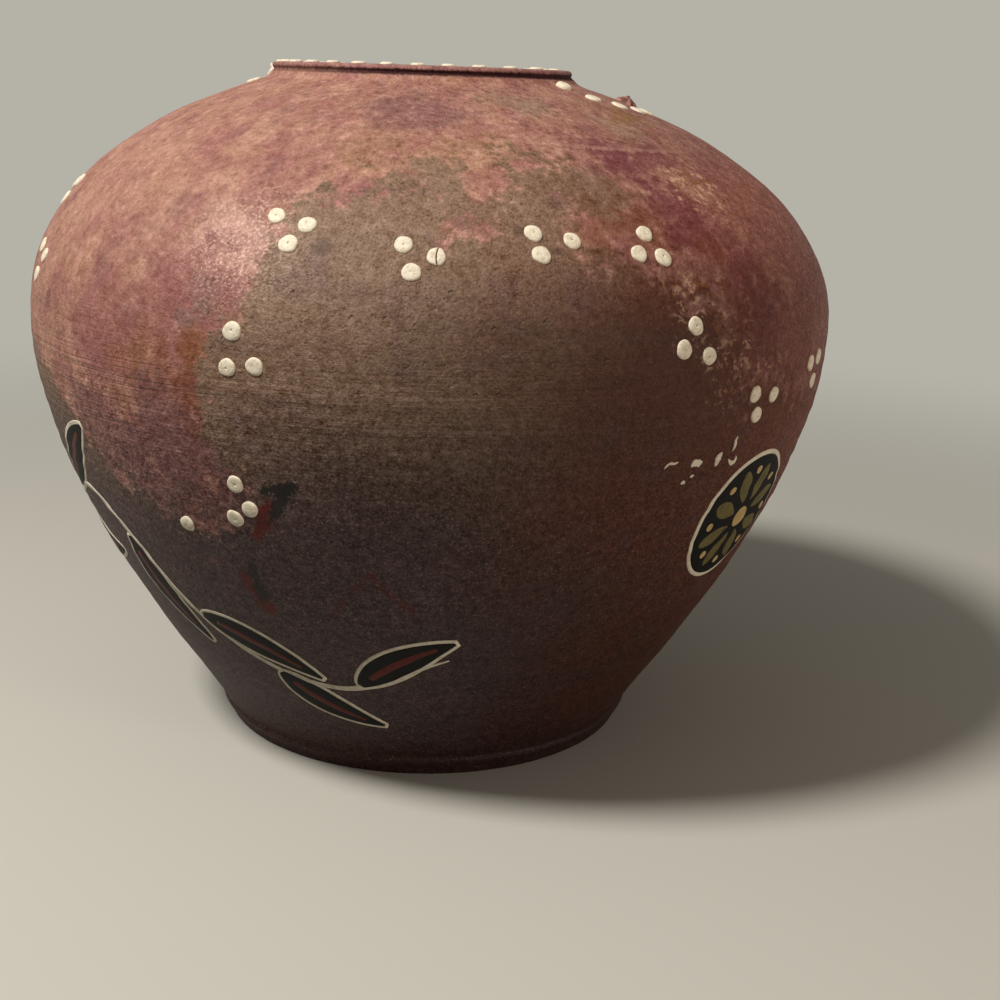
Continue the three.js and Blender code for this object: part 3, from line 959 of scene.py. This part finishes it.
def brushed(azimuth, along, path, half_width, height, wobble=0.0, seed=0):
    """A stroke of paint laid on the wall along a path, given in mm to the right of and along
    the wall from a point. Its section is a flat bell, its half width a number or one value a
    point, and its ends close to points."""
    draw = np.random.default_rng(seed)
    tangent = np.gradient(path, axis=0)
    tangent /= np.hypot(*tangent.T)[:, None]
    across = np.stack([-tangent[:, 1], tangent[:, 0]], 1)
    half_width = half_width * np.ones(len(path))
    turn = np.linspace(0, np.pi, STROKE_ROUND)
    section = np.concatenate([np.cos(turn), [-0.5, 0.5]])
    lift = np.concatenate([height * np.sin(turn) ** 0.35, [0, 0]])
    lift[[0, STROKE_ROUND - 1]] = -0.06
    lift[STROKE_ROUND:] = -0.12
    edge = 1 + wobble * draw.uniform(-1, 1, (len(path), 2))
    side = np.where(section[None, :] > 0, edge[:, :1], edge[:, 1:])
    offset = half_width[:, None] * section[None, :] * side
    right = path[:, :1] + across[:, :1] * offset
    up = path[:, 1:] + across[:, 1:] * offset
    here = along + up
    radius = np.interp(here, outline_along, outline[:, 0])
    ring = on_wall(azimuth + np.degrees(right / radius), here, lift[None, :])
    rows, columns = right.shape
    first = ring[0].mean(0)
    last = ring[-1].mean(0)
    faces = [
        ring_faces(rows, columns)[:, ::-1],
        cap_faces(0, columns, rows * columns, inward=True),
        cap_faces(rows - 1, columns, rows * columns + 1),
    ]
    return np.concatenate([ring.reshape(-1, 3), [first, last]]), faces


def film_finish(name, colour, worn, roughness):
    """Thin brushed paint: its own colour, a worn one in soft patches, and a fine grain that
    follows the clay below."""
    material, shade, surface, place = paint(name, srgb(*colour), roughness)
    patches = noise(shade, place, 1.6, 4, sharp=0.65)
    grain = noise(shade, place, 0.5, 3, sharp=0.6)
    tint = blend(shade, srgb(*colour), srgb(*worn), patches.between(0.45, 0.68) * 0.6)
    tint = blend(shade, tint, srgb(*worn), grain.between(0.56, 0.7) * 0.5)
    connect(shade, tint, surface.inputs["Base Color"])
    connect(shade, roughness - 0.1 + grain * 0.25, surface.inputs["Roughness"])
    surface.inputs["Specular IOR Level"].default_value = 0.14
    bump = shade.node(
        "ShaderNodeBump",
        {},
        {"Strength": 0.8, "Distance": 0.0001, "Height": grain + patches * 0.5},
        "Normal",
    )
    connect(shade, bump, surface.inputs["Normal"])
    return material


line_cream = film_finish("cream_line_paint", (238, 230, 210), (200, 186, 162), 0.55)


def paint_film(name, mesh, material):
    """A painted form as a piece of its own, which rides with the jar."""
    film = put_mesh(name, *mesh)
    film.data.materials.append(material)
    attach(film, "root")


for number, (name, azimuth, height, path, half_width) in enumerate(FLAKES):
    path = smooth_path(path, 16)
    share = np.linspace(0, 1, 16)
    width = half_width * (0.15 + np.sin(np.pi * share) ** 0.6)
    flake = brushed(azimuth, length_at(height), path, width, 0.2, 0.3, number)
    paint_film("flake_" + name, flake, line_cream)


# The painted vine
# Round the left and front of the lower wall a waving stem carries slim pointed leaves in
# turn above and below. Each leaf is black with a cream edge and a brick-red midrib.

VINE = [(-150, 50), (-128, 36), (-104, 58), (-80, 42), (-58, 53), (-38, 30), (-16, 22), (4, 30)]
STEM_WIDTH = 1.2
LEAF_LENGTH = 26
LEAF_WIDTH = 7.6
LEAF_EDGE = 0.7
LEAVES = 11
LEAF_START = 0.05
LEAF_LEAN = 34

film_black = film_finish("black_paint", (6, 5, 4), (17, 13, 10), 0.6)
film_brick = film_finish("brick_paint", (98, 42, 36), (66, 32, 30), 0.5)
vine = np.array(VINE, float)
vine_radius = np.interp(vine[:, 1], lower_wall[:, 1], lower_wall[:, 0])
stem_unit = np.radians(1) * vine_radius.mean()
stem_path = smooth_path(np.stack([vine[:, 0] * stem_unit, vine[:, 1]], 1), 420)
stem_azimuth = stem_path[:, 0] / stem_unit


def stem_point(share):
    """The azimuth and level of the stem at a share of its length, and its slope there."""
    place = share * (len(stem_path) - 1)
    index = np.arange(len(stem_path))
    azimuth = np.interp(place, index, stem_azimuth)
    height = np.interp(place, index, stem_path[:, 1])
    ahead = np.interp(place + 4, index, stem_azimuth), np.interp(place + 4, index, stem_path[:, 1])
    radius = np.interp(height, lower_wall[:, 1], lower_wall[:, 0])
    run = np.radians(ahead[0] - azimuth) * radius
    return azimuth, height, math.atan2(ahead[1] - height, run)


def vine_stroke(azimuths, heights, half_width, height):
    """A stroke along a line of azimuths and levels, bent with the wall point by point."""
    middle = len(azimuths) // 2
    along = length_at(heights)
    radius = np.interp(along, outline_along, outline[:, 0])
    right = np.radians(azimuths - azimuths[middle]) * radius
    path = np.stack([right, along - along[middle]], 1)
    return brushed(azimuths[middle], along[middle], path, half_width, height)


stem_share = np.linspace(0, 1, len(stem_path))
stem_width = STEM_WIDTH / 2 * np.minimum(1, 0.2 + 12 * (1 - stem_share)) * np.minimum(1, 0.3 + 9 * stem_share)
stem = vine_stroke(stem_azimuth, stem_path[:, 1], stem_width, 0.14)
paint_film("vine_stem", stem, line_cream)

share = np.linspace(0, 1, 40)
leaf_shape = np.sin(np.pi * share**0.85) ** 0.8 * (1 - 0.25 * share)
for number in range(LEAVES):
    side = 1 if number % 2 == 0 else -1
    azimuth, height, slope = stem_point(LEAF_START + (0.99 - LEAF_START) * number / LEAVES)
    length = LEAF_LENGTH * (0.92 + 0.08 * math.cos(1.7 * number))
    lean = slope + side * math.radians(LEAF_LEAN)
    bend = lean - side * math.radians(30) * share
    path = np.cumsum(np.stack([np.cos(bend), np.sin(bend)], 1), 0) * length / len(share)
    along = length_at(height)
    name = f"leaf_{number + 1:02d}"
    edge = brushed(azimuth, along, path, leaf_shape * LEAF_WIDTH / 2 + LEAF_EDGE, 0.12)
    paint_film(name + "_edge", edge, line_cream)
    body = brushed(azimuth, along, path[1:-1], leaf_shape[1:-1] * LEAF_WIDTH / 2, 0.18)
    paint_film(name + "_body", body, film_black)
    rib = brushed(azimuth, along, path[6:-7], leaf_shape[6:-7] * LEAF_WIDTH * 0.13, 0.23)
    paint_film(name + "_rib", rib, film_brick)


# The painted rosette
# On the right of the front a round flower with eight petals, black with a cream rim, olive
# petals and ochre dots between them and in the middle.

ROSETTE_AT = (51.5, 52)
ROSETTE_RADIUS = 13.4
ROSETTE_RIM = 0.75
PETALS = 8
film_olive = film_finish("olive_paint", (112, 102, 62), (80, 70, 44), 0.5)
film_ochre = film_finish("ochre_paint", (206, 180, 126), (176, 144, 92), 0.5)


def round_film(azimuth, height, radius, lift, aside=0.0, above=0.0):
    """A flat round film: rings spaced evenly out to its radius, the last two turned down into
    the wall, and a floor of rings under it."""
    spoke = np.arange(96) * 2 * np.pi / 96
    reach = np.concatenate([np.linspace(0.02, 0.98, 26), [1.0, 0.98], np.linspace(0.8, 0.04, 4)])
    lifts = np.concatenate([np.full(26, lift), [-0.06, -0.12], np.full(4, -0.12)])
    right = aside + radius * reach[:, None] * np.cos(spoke)
    up = above + radius * reach[:, None] * np.sin(spoke)
    lifts = lifts[:, None] * np.ones_like(right)
    return set_on_wall(azimuth, length_at(height), right, up, lifts)


rosette_rim = round_film(*ROSETTE_AT, ROSETTE_RADIUS, 0.12)
paint_film("rosette_rim", rosette_rim, line_cream)
rosette_ground = round_film(*ROSETTE_AT, ROSETTE_RADIUS - ROSETTE_RIM, 0.18)
paint_film("rosette_ground", rosette_ground, film_black)
petal_share = np.linspace(0, 1, 24)
petal_width = 0.1 + 1.75 * np.sin(np.pi * petal_share**1.2) ** 0.7
for number in range(PETALS):
    turn = (number + 0.5) * 2 * np.pi / PETALS
    reach = 3.4 + 7.4 * petal_share
    path = np.stack([reach * math.cos(turn), reach * math.sin(turn)], 1)
    petal = brushed(ROSETTE_AT[0], length_at(ROSETTE_AT[1]), path, petal_width, 0.24)
    paint_film(f"rosette_petal_{number + 1}", petal, film_olive)
    turn = number * 2 * np.pi / PETALS
    aside, above = 9.6 * math.cos(turn), 9.6 * math.sin(turn)
    seed_dot = round_film(*ROSETTE_AT, 0.8, 0.26, aside, above)
    paint_film(f"rosette_seed_{number + 1}", seed_dot, film_ochre)
rosette_middle = round_film(*ROSETTE_AT, 2.1, 0.27)
paint_film("rosette_middle", rosette_middle, film_ochre)


# The crust on the neck
# A reddish rough lump of clay and paint stands on the right of the neck, behind the row of
# dots.

CRUST_AT = (88, 0.885)


def crust_lump():
    """A low mound, 1 - r^2, broken up by a few waves across it."""
    spoke = np.arange(48) * 2 * np.pi / 48
    reach = np.concatenate([np.linspace(0.05, 1, 18), [1.0]])[:, None]
    right = 2.2 * reach * np.cos(spoke) * (1 + 0.15 * np.cos(3 * spoke + 1))
    up = 1.9 * reach * np.sin(spoke) * (1 + 0.2 * np.cos(4 * spoke))
    rough = 0.22 * np.sin(2.6 * right + 1) * np.cos(3.1 * up) + 0.1 * np.sin(6 * right + 4 * up)
    lift = 1.25 * (1 - reach**2.5) * (1 + rough) - 0.1
    lift[-1] = -0.3
    return right, up, lift


def crust_finish():
    """Dull rose and brown lumps with paler tops."""
    material, shade, surface, place = paint("crust", srgb(138, 84, 66), 0.8)
    patches = noise(shade, place, 1.2, 4)
    tint = blend(shade, srgb(104, 66, 56), srgb(178, 124, 116), patches.between(0.44, 0.6))
    connect(shade, tint, surface.inputs["Base Color"])
    return material


crust_along = belly_along + CRUST_AT[1] * (NECK_ALONG - belly_along)
crust = set_on_wall(CRUST_AT[0], crust_along, *crust_lump())
paint_film("crust", crust, crust_finish())


# Floor and light
# A plain pale sweep all round, a soft lamp at the upper left, a weak wide one low on the
# right, and a dim even sky.

FLOOR_RADIUS = 1.6
COVE_RADIUS = 1.0
BACK_HEIGHT = 1.0
SWEEP_ROUND = 96
cove_turn = np.linspace(0, np.pi / 2, 16)
sweep = np.concatenate(
    [
        [(0.05, 0.0), (0.4, 0.0), (0.9, 0.0)],
        np.stack(
            [
                FLOOR_RADIUS + COVE_RADIUS * np.sin(cove_turn),
                COVE_RADIUS * (1 - np.cos(cove_turn)),
            ],
            1,
        ),
        [(FLOOR_RADIUS + COVE_RADIUS, COVE_RADIUS + BACK_HEIGHT)],
    ]
)
sweep_turn = np.arange(SWEEP_ROUND) * 2 * np.pi / SWEEP_ROUND
sweep_points = np.stack(
    [
        sweep[:, :1] * np.cos(sweep_turn),
        sweep[:, :1] * np.sin(sweep_turn),
        np.repeat(sweep[:, 1:], SWEEP_ROUND, 1),
    ],
    -1,
)
stage = put_mesh(
    "floor",
    np.concatenate([sweep_points.reshape(-1, 3), [[0, 0, 0]]]) / MM,
    [
        ring_faces(len(sweep), SWEEP_ROUND)[:, ::-1],
        cap_faces(0, SWEEP_ROUND, len(sweep) * SWEEP_ROUND, inward=True),
    ],
)
floor_paint, shade, floor_surface, floor_place = paint("floor", srgb(190, 188, 181), 0.9)
floor_surface.inputs["Specular IOR Level"].default_value = 0.1
seen = shade.node("ShaderNodeLightPath", {}, {}, "Is Camera Ray")
seen = seen.larger(shade.node("ShaderNodeLightPath", {}, {}, "Is Glossy Ray"))
seen = seen.larger(shade.node("ShaderNodeLightPath", {}, {}, "Is Transmission Ray"))
floor_tint = blend(shade, srgb(132, 130, 124), srgb(206, 204, 196), seen)
connect(shade, floor_tint, floor_surface.inputs["Base Color"])
far_off = shade.node("ShaderNodeVectorMath", {"operation": "LENGTH"}, {0: floor_place}, 1)
backdrop = shade.node("ShaderNodeEmission", {}, {"Color": srgb(181, 178, 168), "Strength": 1.0})
mixed = shade.node(
    "ShaderNodeMixShader",
    {},
    {
        0: seen * far_off.between(120, 460),
        1: Shade(shade.tree, floor_surface.outputs["BSDF"]),
        2: backdrop,
    },
)
output = shade.tree.nodes["Material Output"]
connect(shade, mixed, output.inputs["Surface"])
stage.data.materials.append(floor_paint)

LAMP_AT = Vector((-0.300, -0.216, 0.570))
LAMP_POWER = 3.8
FILL_AT = Vector((0.56, -0.42, 0.12))
FILL_POWER = 1.3
lamp = bpy.data.objects.new("lamp", bpy.data.lights.new("lamp", "AREA"))
lamp.data.shape = "DISK"
lamp.data.size = 0.12
lamp.data.energy = LAMP_POWER
lamp.data.color = (1.0, 0.95, 0.88)
lamp.location = LAMP_AT
lamp.rotation_euler = (Vector((0, 0, 0.08)) - LAMP_AT).to_track_quat("-Z", "Y").to_euler()
bpy.context.scene.collection.objects.link(lamp)

fill = bpy.data.objects.new("fill", bpy.data.lights.new("fill", "AREA"))
fill.data.shape = "DISK"
fill.data.size = 0.2
fill.data.energy = FILL_POWER
fill.data.color = (1.0, 0.84, 0.7)
fill.location = FILL_AT
fill.rotation_euler = (Vector((0, 0, 0.06)) - FILL_AT).to_track_quat("-Z", "Y").to_euler()
bpy.context.scene.collection.objects.link(fill)

sky = bpy.data.worlds.new("sky")
sky.use_nodes = True
sky.node_tree.nodes["Background"].inputs["Color"].default_value = (*srgb(228, 224, 214), 1)
sky.node_tree.nodes["Background"].inputs["Strength"].default_value = 0.24
bpy.context.scene.world = sky
bpy.context.scene.view_settings.view_transform = "Standard"
